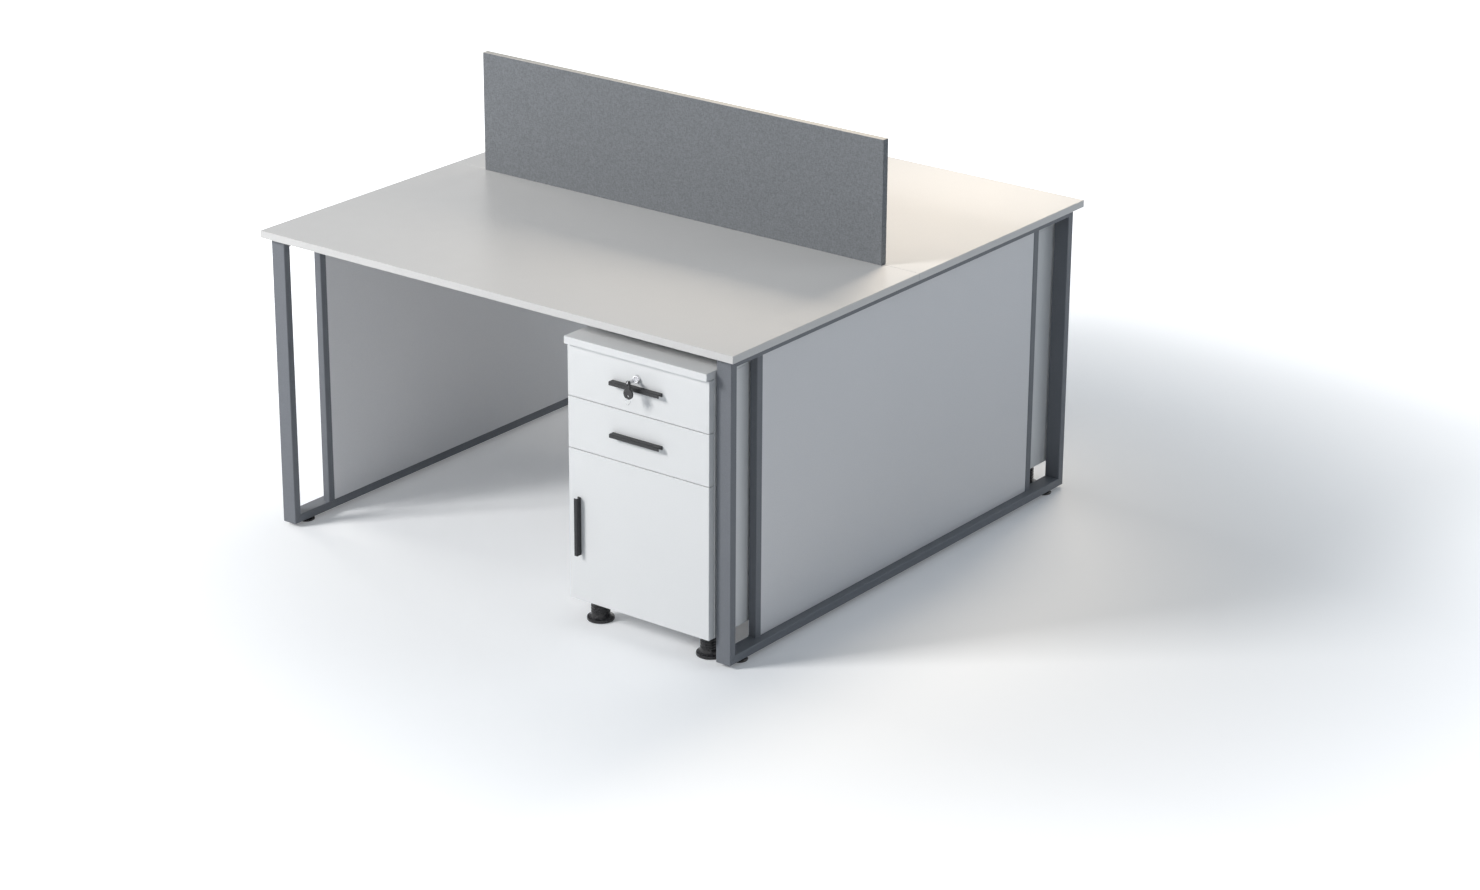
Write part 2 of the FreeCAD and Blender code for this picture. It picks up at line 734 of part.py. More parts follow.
# An angle under the top board that the cam turns up behind.
def lock_strike():
    strike = new_body("strike")
    section = sketch_on(strike, "YZ_Plane")
    front = f"({CAM_Y} - strike_air - strike_wall)"
    add_loop(section, [
        (front, "-strike_drop"), (f"{front} + strike_wall", "-strike_drop"),
        (f"{front} + strike_wall", "-strike_wall"), (f"{front} + strike_leg", "-strike_wall"),
        (f"{front} + strike_leg", "0"), (front, "0"),
    ])
    pad(strike, section, "strike_width")
    return place(strike, "0", "0", CARCASS_TOP)


# Heights of the two hinges above the door's lower edge.
HINGES = {"low": "hinge_end_inset", "high": f"({DOOR_HEIGHT} - hinge_end_inset)"}


# The door with a bore in its back for each hinge cup.
def door():
    panel = board("door", (f"2 * {FRONT_HALF}", "front_board", DOOR_HEIGHT),
                  (f"-{FRONT_HALF}", "0", "foot_height"))
    bores = [(f"{FRONT_HALF} + {CUP_X}", z) for z in HINGES.values()]
    drill(panel, "XZ_Plane", bores, "cup_diameter + 2 * cup_play",
          lift="-front_board", depth="cup_depth", back=True)
    return panel


# Hinge cups let into the door, each with two screw wings on the door's back.
def hinge_cups():
    cups = []
    for end, z in HINGES.items():
        rim = "(cup_diameter / 2 - cup_wall)"
        cup = turned(f"{end}_cup", [
            ("0", "-cup_depth"), ("cup_diameter / 2", "-cup_depth"), ("cup_diameter / 2", "0"), (rim, "0"),
            (rim, "cup_wall - cup_depth"), ("0", "cup_wall - cup_depth"),
        ])
        wing = "(cup_diameter / 2 - wing_overlap)"
        for low, high in ((wing, "wing_reach"), ("-wing_reach", f"-{wing}")):
            outline = sketch_on(cup, "XY_Plane")
            add_loop(outline, rectangle("-wing_width / 2", low, "wing_width / 2", high))
            pad(cup, outline, "wing_thickness", even=False)
        cups.append(place(cup, CUP_X, "front_board", f"foot_height + {z}", Z_TO_BACK))
    return cups


# Hinge arms on the carcass side, each with a nose that reaches into its cup.
def hinge_arms():
    arms = []
    for end, z in HINGES.items():
        arm = new_body(f"{end}_arm")
        plan = sketch_on(arm, "XY_Plane")
        tip = "(front_board - cup_depth + cup_wall + nose_air)"
        bend = f"({CARCASS_Y} + arm_step)"
        rear = f"({CARCASS_Y} + arm_length)"
        wall = f"({INSIDE} - hinge_plate)"
        add_loop(plan, [
            (f"{CUP_X} - arm_width", tip), (CUP_X, tip), (CUP_X, f"{CARCASS_Y} + hinge_plate"), (wall, bend),
            (wall, rear), (f"{wall} - arm_rise", rear), (f"{wall} - arm_rise", f"{bend} + arm_step"),
            (f"{CUP_X} - arm_width", bend),
        ])
        pad(arm, plan, "arm_height")
        plate = sketch_on(arm, "XY_Plane")
        add_loop(plate, rectangle(wall, f"{CARCASS_Y} + hinge_plate_setback", INSIDE, rear))
        pad(arm, plate, "hinge_plate_height")
        arms.append(place(arm, "0", "0", f"foot_height + {z}"))
    return arms


# All pieces of a pedestal in its own frame, listed by sub-part.
def pedestal_pieces():
    pieces = carcass()
    pieces["feet"] = feet()
    pieces["runner_outers"] = []
    for level, drawer_z, locked in (("upper", UPPER_Z, True), ("lower", LOWER_Z, False)):
        pair = runners(level, drawer_z)
        pieces["runner_outers"] += pair["outer"]
        pieces[f"{level}_runner_middles"] = pair["middle"]
        pieces[f"{level}_drawer_box"] = drawer_box(level, drawer_z) + pair["inner"]
        pieces[f"{level}_drawer_front"] = [drawer_front(level, drawer_z, locked)]
        pull = place(handle(f"{level}_handle"), "0", "0", f"{drawer_z} + drawer_front_height / 2")
        pieces[f"{level}_drawer_handle"] = [pull]
    pieces["door"] = [door()]
    door_pull = handle("door_pull")
    place(door_pull, f"door_handle_inset - {FRONT_HALF}", "0", f"foot_height + {DOOR_HEIGHT} / 2", Z_TO_RIGHT)
    pieces["door_handle"] = [door_pull]
    pieces["hinge_cups"] = hinge_cups()
    pieces["hinge_arms"] = hinge_arms()
    pieces["lock_barrel"] = [lock_barrel()]
    pieces["lock_core"] = lock_core()
    pieces["key_bow"] = [key_bow()]
    pieces["key_ring"] = [key_ring()]
    pieces["lock_strike"] = [lock_strike()]
    return pieces


# The same pedestal twice at the right end of the desk, one facing each way.
def pedestals():
    pieces = pedestal_pieces()
    nodes = []
    x = f"{INNER_X} - pedestal_gap - pedestal_width / 2"
    for unit, y, turn in (("front", "-desk_depth / 2", None), ("rear", "desk_depth / 2", HALF_TURN)):
        for name, links in pieces.items():
            nodes.append(place(group(f"{unit}_pedestal_{name}", links), x, y, "0", turn))
    return nodes


def desk():
    nodes = [worktop("front"), worktop("rear"), screen_panel(), screen_tongues()]
    for side, sign in (("left", "-"), ("right", "")):
        nodes.append(end_frame(side, sign))
        nodes.append(side_panel(side, sign))
    nodes += [frame_glides(), cross_beams(), beam_brackets()]
    return nodes


# Stops if anything in the document failed, then writes each sub-part to its own file.
def write_parts(nodes):
    doc.recompute()
    for item in doc.Objects:
        if "Invalid" in item.State or "Error" in item.State:
            raise ValueError(f"{item.Label} did not build")
    for node in nodes:
        if node.Shape.isNull() or not node.Shape.isValid():
            raise ValueError(f"{node.Label} has no sound shape")
    os.makedirs("parts", exist_ok=True)
    for node in nodes:
        node.Shape.exportStep(f"parts/{node.Label}.step")


fill_sheet()
write_parts(desk() + pedestals())
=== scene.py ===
"""Looks of a two-person metal frame desk: finishes, fittings, fasteners, studio and camera."""

import json
import logging
import math
from collections.abc import Sequence
from dataclasses import dataclass
from enum import Enum

import bmesh
import bpy
from mathutils import Matrix, Vector


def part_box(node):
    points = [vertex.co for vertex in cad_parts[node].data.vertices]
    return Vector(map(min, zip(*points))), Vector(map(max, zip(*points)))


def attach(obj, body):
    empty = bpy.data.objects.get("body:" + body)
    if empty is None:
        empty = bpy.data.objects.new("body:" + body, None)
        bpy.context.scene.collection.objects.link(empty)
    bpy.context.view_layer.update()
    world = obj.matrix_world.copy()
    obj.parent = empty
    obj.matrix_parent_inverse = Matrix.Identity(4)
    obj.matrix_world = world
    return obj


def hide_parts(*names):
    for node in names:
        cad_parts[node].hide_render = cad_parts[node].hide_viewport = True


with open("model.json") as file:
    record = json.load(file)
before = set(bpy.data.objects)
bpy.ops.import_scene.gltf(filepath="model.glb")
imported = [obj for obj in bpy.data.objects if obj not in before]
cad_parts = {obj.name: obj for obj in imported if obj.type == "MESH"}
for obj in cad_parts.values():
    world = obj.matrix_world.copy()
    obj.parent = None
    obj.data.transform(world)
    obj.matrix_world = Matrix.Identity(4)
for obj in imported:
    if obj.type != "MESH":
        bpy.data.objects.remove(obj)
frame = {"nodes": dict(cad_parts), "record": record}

LOG = logging.getLogger("desk")
MM = 0.001
UP = Vector((0, 0, 1))
DOWN = Vector((0, 0, -1))
BACK = Vector((0, 1, 0))
RIGHT = Vector((1, 0, 0))
LEFT = Vector((-1, 0, 0))
NOISE_SPAN = (0.3, 0.7)
SAME_POINT = 1e-7
WELD_REACH = 1e-6
SHARP_EDGE = math.radians(32)
ROUNDED_EDGE = math.radians(30)
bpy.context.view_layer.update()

Colour = tuple[float, float, float]
Point = tuple[float, float, float]
Span = tuple[float, float]
Profile = Sequence[tuple[float, float]]
Socket = bpy.types.NodeSocket


class Coating:
    """The node tree of one finish, wired from the surface back."""

    def __init__(self, name: str, colour: Colour, roughness: float, metallic: float = 0.0) -> None:
        """Starts a material.

        Args:
            name: Name of the material.
            colour: Plain colour, linear.
            roughness: Plain roughness.
            metallic: 1 for bare or plated metal.
        """
        self.material = bpy.data.materials.new(name)
        self.material.use_nodes = True
        self.tree = self.material.node_tree
        self.surface = self.tree.nodes["Principled BSDF"]
        self.surface.inputs["Base Color"].default_value = (*colour, 1.0)
        self.surface.inputs["Roughness"].default_value = roughness
        self.surface.inputs["Metallic"].default_value = metallic
        self.spot = self.tree.nodes.new("ShaderNodeTexCoord").outputs["Object"]

    def feed(self, target: Socket, value: "Socket | float | Colour") -> None:
        """Links a socket to another, or sets its value.

        Args:
            target: Socket to feed.
            value: Socket, number or colour.
        """
        if isinstance(value, Socket):
            self.tree.links.new(value, target)
        elif isinstance(value, tuple) and len(target.default_value) == 4:
            target.default_value = (*value, 1.0)
        else:
            target.default_value = value

    def paint(self, colour: Socket) -> None:
        """Gives the surface its colour."""
        self.feed(self.surface.inputs["Base Color"], colour)

    def polish(self, roughness: Socket) -> None:
        """Gives the surface its roughness."""
        self.feed(self.surface.inputs["Roughness"], roughness)

    def shine(self, level: float) -> None:
        """Sets how strongly the surface mirrors."""
        self.surface.inputs["Specular IOR Level"].default_value = level

    def noise(self, scale: float, detail: float = 2.0, stretch: Point = (1, 1, 1)) -> Socket:
        """Adds a noise on object coordinates.

        Args:
            scale: Cells in a metre.
            detail: Octaves.
            stretch: Factor on each coordinate.

        Returns:
            The noise value, about 0.5 in the middle.
        """
        mapping = self.tree.nodes.new("ShaderNodeMapping")
        mapping.inputs["Scale"].default_value = stretch
        self.feed(mapping.inputs["Vector"], self.spot)
        node = self.tree.nodes.new("ShaderNodeTexNoise")
        node.inputs["Scale"].default_value = scale
        node.inputs["Detail"].default_value = detail
        self.feed(node.inputs["Vector"], mapping.outputs["Vector"])
        return node.outputs["Fac"]

    def span(self, value: Socket, reach: Span, start: float = 0.0, end: float = 1.0) -> Socket:
        """Maps a value from one span to another, clamped.

        Args:
            value: What is mapped.
            reach: Its span.
            start: Result at the low end of its span.
            end: Result at the high end.

        Returns:
            The mapped value.
        """
        node = self.tree.nodes.new("ShaderNodeMapRange")
        self.feed(node.inputs["Value"], value)
        node.inputs["From Min"].default_value, node.inputs["From Max"].default_value = reach
        node.inputs["To Min"].default_value = start
        node.inputs["To Max"].default_value = end
        return node.outputs["Result"]

    def calc(
        self, operation: str, first: "Socket | float", second: "Socket | float" = 0.0
    ) -> Socket:
        """Adds a math node.

        Args:
            operation: Blender's name of the operation.
            first: First value.
            second: Second value, where the operation has one.

        Returns:
            The result.
        """
        node = self.tree.nodes.new("ShaderNodeMath")
        node.operation = operation
        self.feed(node.inputs[0], first)
        self.feed(node.inputs[1], second)
        return node.outputs["Value"]

    def axes(self) -> tuple[Socket, Socket, Socket]:
        """Splits the object coordinates.

        Returns:
            X, Y and Z, one by one.
        """
        node = self.tree.nodes.new("ShaderNodeSeparateXYZ")
        self.feed(node.inputs["Vector"], self.spot)
        return node.outputs["X"], node.outputs["Y"], node.outputs["Z"]

    def mix(self, factor: Socket, first: "Socket | Colour", second: "Socket | Colour") -> Socket:
        """Mixes two colours.

        Args:
            factor: 0 for the first, 1 for the second.
            first: First colour.
            second: Second colour.

        Returns:
            The mixed colour.
        """
        node = self.tree.nodes.new("ShaderNodeMix")
        node.data_type = "RGBA"
        self.feed(node.inputs["Factor"], factor)
        colours = [socket for socket in node.inputs if socket.type == "RGBA"]
        self.feed(colours[0], first)
        self.feed(colours[1], second)
        return next(socket for socket in node.outputs if socket.type == "RGBA")

    def bump(self, height: Socket, distance: float, strength: float) -> None:
        """Roughens the surface by a height.

        Args:
            height: Height from 0 to 1.
            distance: Height of 1 in metres.
            strength: Share of the effect.
        """
        node = self.tree.nodes.new("ShaderNodeBump")
        node.inputs["Strength"].default_value = strength
        node.inputs["Distance"].default_value = distance
        self.feed(node.inputs["Height"], height)
        self.feed(self.surface.inputs["Normal"], node.outputs["Normal"])


def scaled(colour: Colour, share: float) -> Colour:
    """Makes a colour darker or paler.

    Args:
        colour: Linear colour.
        share: Factor, above 1 for a paler one.

    Returns:
        The scaled colour, with no part above 1.
    """
    return tuple(min(part * share, 1.0) for part in colour)


@dataclass(frozen=True)
class BoardFinish:
    """Melamine-faced board with a faint fleck and a fine pearl grain."""

    name: str
    face: Colour
    fleck: float
    roughness: float
    fleck_scale: float = 380.0
    cloud_scale: float = 2.2
    cloud_share: float = 0.98
    sheen_scale: float = 25.0
    sheen: Span = (-0.03, 0.04)
    grain_scale: float = 900.0
    grain_height: float = 0.00003
    grain_strength: float = 0.5

    def flecked(self, coat: Coating, factor: Socket, share: float) -> Socket:
        """Adds the board's colour with its fleck.

        Args:
            coat: Coating that takes the nodes.
            factor: Fleck from 0 to 1.
            share: Factor on the colour.

        Returns:
            The colour.
        """
        low = scaled(self.face, share - self.fleck)
        high = scaled(self.face, share + self.fleck)
        return coat.mix(factor, low, high)

    def material(self) -> bpy.types.Material:
        """Makes the finish.

        Returns:
            The material.
        """
        coat = Coating(self.name, self.face, self.roughness)
        fleck = coat.span(coat.noise(self.fleck_scale, detail=4), NOISE_SPAN)
        cloud = coat.span(coat.noise(self.cloud_scale, detail=3), NOISE_SPAN)
        plain = self.flecked(coat, fleck, 1.0)
        clouded = self.flecked(coat, fleck, self.cloud_share)
        coat.paint(coat.mix(cloud, plain, clouded))
        smooth, rough = (self.roughness + change for change in self.sheen)
        patches = coat.noise(self.sheen_scale, detail=3)
        coat.polish(coat.span(patches, NOISE_SPAN, smooth, rough))
        coat.bump(coat.noise(self.grain_scale), self.grain_height, self.grain_strength)
        return coat.material


@dataclass(frozen=True)
class ScreenFinish:
    """Grey board with a fine woven grain, and a pale warm painted highlight on its top face that
    stands in for the back light grazing it.
    """

    name: str
    face: Colour
    contrast: float
    roughness: float
    specular: float = 0.12
    threads: float = 150.0
    stretch: float = 3.2
    weave: Span = (0.75, 1.25)
    hollow_roughness: float = 0.08
    relief: float = 0.00012
    relief_strength: float = 0.6
    # Colour and lowest height, in metres, of the painted highlight on the screen's top face.
    painted_highlight: Colour = (0.63, 0.605, 0.56)
    painted_highlight_low: float = 1.0494

    def material(self) -> bpy.types.Material:
        """Makes the finish.

        Returns:
            The material.
        """
        coat = Coating(self.name, self.face, self.roughness)
        coat.shine(self.specular)
        weft = coat.noise(self.threads, detail=3, stretch=(1.0, 1.0, self.stretch))
        warp = coat.noise(self.threads, detail=3, stretch=(self.stretch, 1.0, 1.0))
        grain = coat.span(coat.calc("ADD", weft, warp), self.weave)
        low = scaled(self.face, 1 - self.contrast)
        high = scaled(self.face, 1 + self.contrast)
        # Painted highlight: above that height, on the screen's top face, the colour turns pale and
        # warm to stand in for the back light grazing it.
        edge = coat.calc("GREATER_THAN", coat.axes()[2], self.painted_highlight_low)
        coat.paint(coat.mix(edge, coat.mix(grain, low, high), self.painted_highlight))
        hollow = self.roughness + self.hollow_roughness
        coat.polish(coat.span(grain, (0.0, 1.0), hollow, self.roughness))
        coat.bump(grain, self.relief, self.relief_strength)
        return coat.material


@dataclass(frozen=True)
class PowderFinish:
    """Satin powder coat on steel tube, with a hairline along each mitre of the end frames.

    The mitres are found from the outer sizes of the frames and their tube, in metres.
    """

    name: str
    paint: Colour
    roughness: float
    specular: float = 0.25
    fine_scale: float = 520.0
    fine_share: float = 0.06
    sheen_scale: float = 30.0
    sheen: float = 0.05
    peel_scale: float = 700.0
    peel_height: float = 0.00005
    peel_strength: float = 0.6
    half_depth: float = 0.682
    low: float = 0.009
    high: float = 0.732
    tube: float = 0.0202
    hairline: float = 0.0005
    hairline_share: float = 0.62

    def mitres(self, coat: Coating) -> Socket:
        """Marks the mitred corners of the end frames.

        Args:
            coat: Coating that takes the nodes.

        Returns:
            1 on the hairlines, else 0.
        """
        _, y, z = coat.axes()
        inward = coat.calc("SUBTRACT", self.half_depth, coat.calc("ABSOLUTE", y))
        above = coat.calc("SUBTRACT", z, self.low)
        below = coat.calc("SUBTRACT", self.high, z)
        rise = coat.calc("MINIMUM", above, below)
        off = coat.calc("ABSOLUTE", coat.calc("SUBTRACT", inward, rise))
        on_line = coat.calc("LESS_THAN", off, self.hairline)
        return coat.calc("MULTIPLY", on_line, coat.calc("LESS_THAN", rise, self.tube))

    def material(self) -> bpy.types.Material:
        """Makes the finish.

        Returns:
            The material.
        """
        coat = Coating(self.name, self.paint, self.roughness)
        coat.shine(self.specular)
        fine = coat.span(coat.noise(self.fine_scale, detail=3), NOISE_SPAN)
        low = scaled(self.paint, 1 - self.fine_share)
        high = scaled(self.paint, 1 + self.fine_share)
        hairline = scaled(self.paint, self.hairline_share)
        coat.paint(coat.mix(self.mitres(coat), coat.mix(fine, low, high), hairline))
        smooth, rough = self.roughness - self.sheen, self.roughness + self.sheen
        patches = coat.noise(self.sheen_scale, detail=3)
        coat.polish(coat.span(patches, NOISE_SPAN, smooth, rough))
        coat.bump(coat.noise(self.peel_scale), self.peel_height, self.peel_strength)
        return coat.material


@dataclass(frozen=True)
class PlasticFinish:
    """Moulded plastic with a spark-eroded grain and faint scuffs."""

    name: str
    colour: Colour
    roughness: float
    scuff_scale: float = 90.0
    scuff_span: Span = (0.55, 0.75)
    scuff_share: float = 1.9
    scuff_roughness: float = 0.15
    grain_scale: float = 1600.0
    grain_height: float = 0.00006
    grain_strength: float = 0.7

    def material(self) -> bpy.types.Material:
        """Makes the finish.

        Returns:
            The material.
        """
        coat = Coating(self.name, self.colour, self.roughness)
        scuff = coat.span(coat.noise(self.scuff_scale, detail=5), self.scuff_span)
        coat.paint(coat.mix(scuff, self.colour, scaled(self.colour, self.scuff_share)))
        rough = self.roughness + self.scuff_roughness
        coat.polish(coat.span(scuff, (0.0, 1.0), self.roughness, rough))
        coat.bump(coat.noise(self.grain_scale), self.grain_height, self.grain_strength)
        return coat.material


@dataclass(frozen=True)
class MetalFinish:
    """Plated or coated metal with a drawn grain and faint clouding."""

    name: str
    colour: Colour
    cloud: Colour
    roughness: float
    metallic: float = 1.0
    stretch: Point = (1, 1, 1)
    cloud_scale: float = 70.0
    cloud_span: Span = (0.35, 0.7)
    grain_scale: float = 420.0
    grain_rough: Span = (0.75, 1.3)
    grain_height: float = 0.00002
    grain_strength: float = 0.5

    def material(self) -> bpy.types.Material:
        """Makes the finish.

        Returns:
            The material.
        """
        coat = Coating(self.name, self.colour, self.roughness, self.metallic)
        cloud = coat.span(coat.noise(self.cloud_scale, detail=4), self.cloud_span)
        coat.paint(coat.mix(cloud, self.colour, self.cloud))
        drawn = coat.noise(self.grain_scale, detail=3, stretch=self.stretch)
        smooth, rough = (self.roughness * share for share in self.grain_rough)
        coat.polish(coat.span(drawn, NOISE_SPAN, smooth, rough))
        coat.bump(drawn, self.grain_height, self.grain_strength)
        return coat.material


Finish = BoardFinish | ScreenFinish | PowderFinish | PlasticFinish | MetalFinish


class Slot(Enum):
    """The record's material slots, each with its finish."""

    WORKTOP = (
        "worktop_board", BoardFinish("worktop melamine", (0.65, 0.643, 0.634), 0.03, 0.34))
    SCREEN = (
        "screen_board", ScreenFinish("screen weave", (0.207, 0.218, 0.232), 0.16, 0.6))
    PANEL = (
        "panel_board", BoardFinish("panel melamine", (0.766, 0.763, 0.777), 0.02, 0.42))
    FRAME = (
        "frame_paint", PowderFinish("frame powder coat", (0.18, 0.191, 0.211), 0.46))
    PEDESTAL = (
        "pedestal_board", BoardFinish("pedestal melamine", (0.778, 0.787, 0.792), 0.015, 0.38))
    DRAWER = (
        "drawer_board", BoardFinish("drawer melamine", (0.78, 0.78, 0.77), 0.02, 0.5))
    HANDLE = (
        "handle_grey",
        MetalFinish("handle coat", (0.018, 0.0185, 0.02), (0.024, 0.0245, 0.0265), 0.42, 0.0))
    PLASTIC = (
        "black_plastic", PlasticFinish("black plastic", (0.018, 0.018, 0.02), 0.27))
    ZINC = (
        "zinc_steel",
        MetalFinish("zinc plate", (0.56, 0.57, 0.58), (0.5, 0.5, 0.49), 0.32,
                    stretch=(1, 0.12, 1)))
    CHROME = (
        "lock_chrome", MetalFinish("chrome plate", (0.8, 0.8, 0.82), (0.74, 0.74, 0.76), 0.12))

    def __init__(self, label: str, finish: Finish) -> None:
        """Keeps the slot's name in the record and its finish."""
        self.label = label
        self.finish = finish


class Shop:
    """Makes each finish once and puts it on nodes and pieces."""

    def __init__(self) -> None:
        """Makes the material of every slot."""
        self.coats = {slot.label: slot.finish.material() for slot in Slot}

    def dress_nodes(self) -> None:
        """Puts the finish of its slot on every CAD node."""
        for part in frame["record"]["subparts"]:
            node = frame["nodes"][part["node"]]
            if not node.material_slots:
                node.data.materials.append(None)
            for slot in node.material_slots:
                slot.material = self.coats[part["material_slot"]]

    def coat(self, slot: Slot) -> bpy.types.Material:
        """Returns the material of a slot."""
        return self.coats[slot.label]


@dataclass(frozen=True)
class Screw:
    """A pan-head screw with a cross in its recess, sizes in millimetres."""

    head: float = 8.0
    rise: float = 2.6
    outline: Profile = (
        (0, 0.45), (0.16, 0.45), (0.3, 0.96), (0.55, 1), (0.8, 0.8), (0.97, 0.35), (1, 0))
    cross: Span = (0.2, 0.95)
    cross_low: float = 0.93
    cross_depth: float = 0.1
    steps: int = 20

    def profile(self) -> Profile:
        """Works out the head's half profile.

        Returns:
            Radius and height of each point.
        """
        half = self.head / 2
        return [(half * across, self.rise * up) for across, up in self.outline]

    def bars(self) -> list[Profile]:
        """Works out the two bars of the cross.

        Returns:
            The corners of each.
        """
        width, length = (self.head / 2 * share / 2 for share in self.cross)
        return [[(-x, -y), (x, -y), (x, y), (-x, y)] for x, y in ((length, width), (width, length))]


class Piece:
    """A new piece of the object, gathered in one bmesh in its place."""

    def __init__(self, name: str, body: str, slot: Slot, place: Matrix | None = None) -> None:
        """Starts an empty piece.

        Args:
            name: Name of the piece.
            body: Body that it rides on.
            slot: Material slot that it takes its finish from.
            place: Frame in which its shapes are given.
        """
        self.name = name
        self.body = body
        self.slot = slot
        self.place = place or Matrix.Identity(4)
        self.mesh = bmesh.new()

    def take(self, shape: bmesh.types.BMesh, at: Vector, axis: Vector = UP) -> None:
        """Adds a shape, its own Z turned to an axis.

        Args:
            shape: Shape about its own origin, used up here.
            at: Place of its origin.
            axis: Direction of its Z.
        """
        turn = UP.rotation_difference(axis).to_matrix().to_4x4()
        placed = self.place @ Matrix.Translation(at) @ turn
        bmesh.ops.remove_doubles(shape, verts=shape.verts, dist=SAME_POINT)
        bmesh.ops.recalc_face_normals(shape, faces=shape.faces)
        bmesh.ops.transform(shape, matrix=placed, verts=shape.verts)
        scratch = bpy.data.meshes.new("scratch")
        shape.to_mesh(scratch)
        shape.free()
        self.mesh.from_mesh(scratch)
        bpy.data.meshes.remove(scratch)

    def lathe(
        self, profile: Profile, at: Vector, axis: Vector = UP, steps: int = 48, ring: bool = False
    ) -> None:
        """Turns a half profile about an axis.

        Args:
            profile: Radius and height of each point, in millimetres.
            at: Place of the profile's origin.
            axis: Direction of its height.
            steps: Faces round the turn.
            ring: Whether the profile closes on itself.
        """
        shape = bmesh.new()
        verts = [shape.verts.new((radius * MM, 0, height * MM)) for radius, height in profile]
        edges = [shape.edges.new(pair) for pair in zip(verts, verts[1:])]
        if ring:
            edges.append(shape.edges.new((verts[-1], verts[0])))
        bmesh.ops.spin(
            shape, geom=verts + edges, cent=(0, 0, 0), axis=UP, dvec=(0, 0, 0), angle=math.tau,
            steps=steps, use_merge=True, use_duplicate=False)
        self.take(shape, at, axis)

    def prism(self, outline: Profile, depth: float, at: Vector, axis: Vector = UP) -> None:
        """Extrudes an outline.

        Args:
            outline: Corners in millimetres.
            depth: Length of the extrusion in millimetres.
            at: Place of the outline's origin.
            axis: Direction of the extrusion.
        """
        shape = bmesh.new()
        face = shape.faces.new([shape.verts.new((x * MM, y * MM, 0)) for x, y in outline])
        grown = bmesh.ops.extrude_face_region(shape, geom=[face])["geom"]
        top = [item for item in grown if isinstance(item, bmesh.types.BMVert)]
        bmesh.ops.translate(shape, vec=(0, 0, depth * MM), verts=top)
        self.take(shape, at, axis)

    def screw(self, kind: Screw, at: Vector, axis: Vector) -> None:
        """Adds a screw.

        Args:
            kind: Its shape.
            at: Place of its head on the surface.
            axis: Direction that the head faces.
        """
        self.lathe(kind.profile(), at, axis, kind.steps)
        base = at + axis * (kind.rise * kind.cross_low * MM)
        for bar in kind.bars():
            self.prism(bar, kind.rise * kind.cross_depth, base, axis)

    def done(self, shop: Shop, *nodes: str) -> None:
        """Makes the object, dresses it and sets it on its body.

        Args:
            shop: Where the finish comes from.
            nodes: CAD nodes that the piece stands for.
        """
        data = bpy.data.meshes.new(self.name)
        self.mesh.to_mesh(data)
        self.mesh.free()
        data.polygons.foreach_set("use_smooth", [True] * len(data.polygons))
        data.set_sharp_from_angle(angle=SHARP_EDGE)
        data.materials.append(shop.coat(self.slot))
        thing = bpy.data.objects.new(self.name, data)
        bpy.context.scene.collection.objects.link(thing)
        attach(thing, self.body)
        if nodes:
            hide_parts(*nodes)
        LOG.info("%s on %s: %d faces", self.name, self.body, len(data.polygons))


def soften(node: str, width: float, segments: int = 3) -> None:
    """Rounds the edges of a CAD node with modifiers.

    Args:
        node: Name of the node.
        width: Width of the rounding in millimetres.
        segments: Faces across it.
    """
    thing = frame["nodes"][node]
    weld = thing.modifiers.new("weld", "WELD")
    weld.merge_threshold = WELD_REACH
    bevel = thing.modifiers.new("rounding", "BEVEL")
    bevel.width = width * MM
    bevel.segments = segments
    bevel.profile = 0.5
    bevel.limit_method = "ANGLE"
    bevel.angle_limit = ROUNDED_EDGE
    bevel.harden_normals = True
    LOG.info("%s: edges rounded by %.1f mm", node, width)


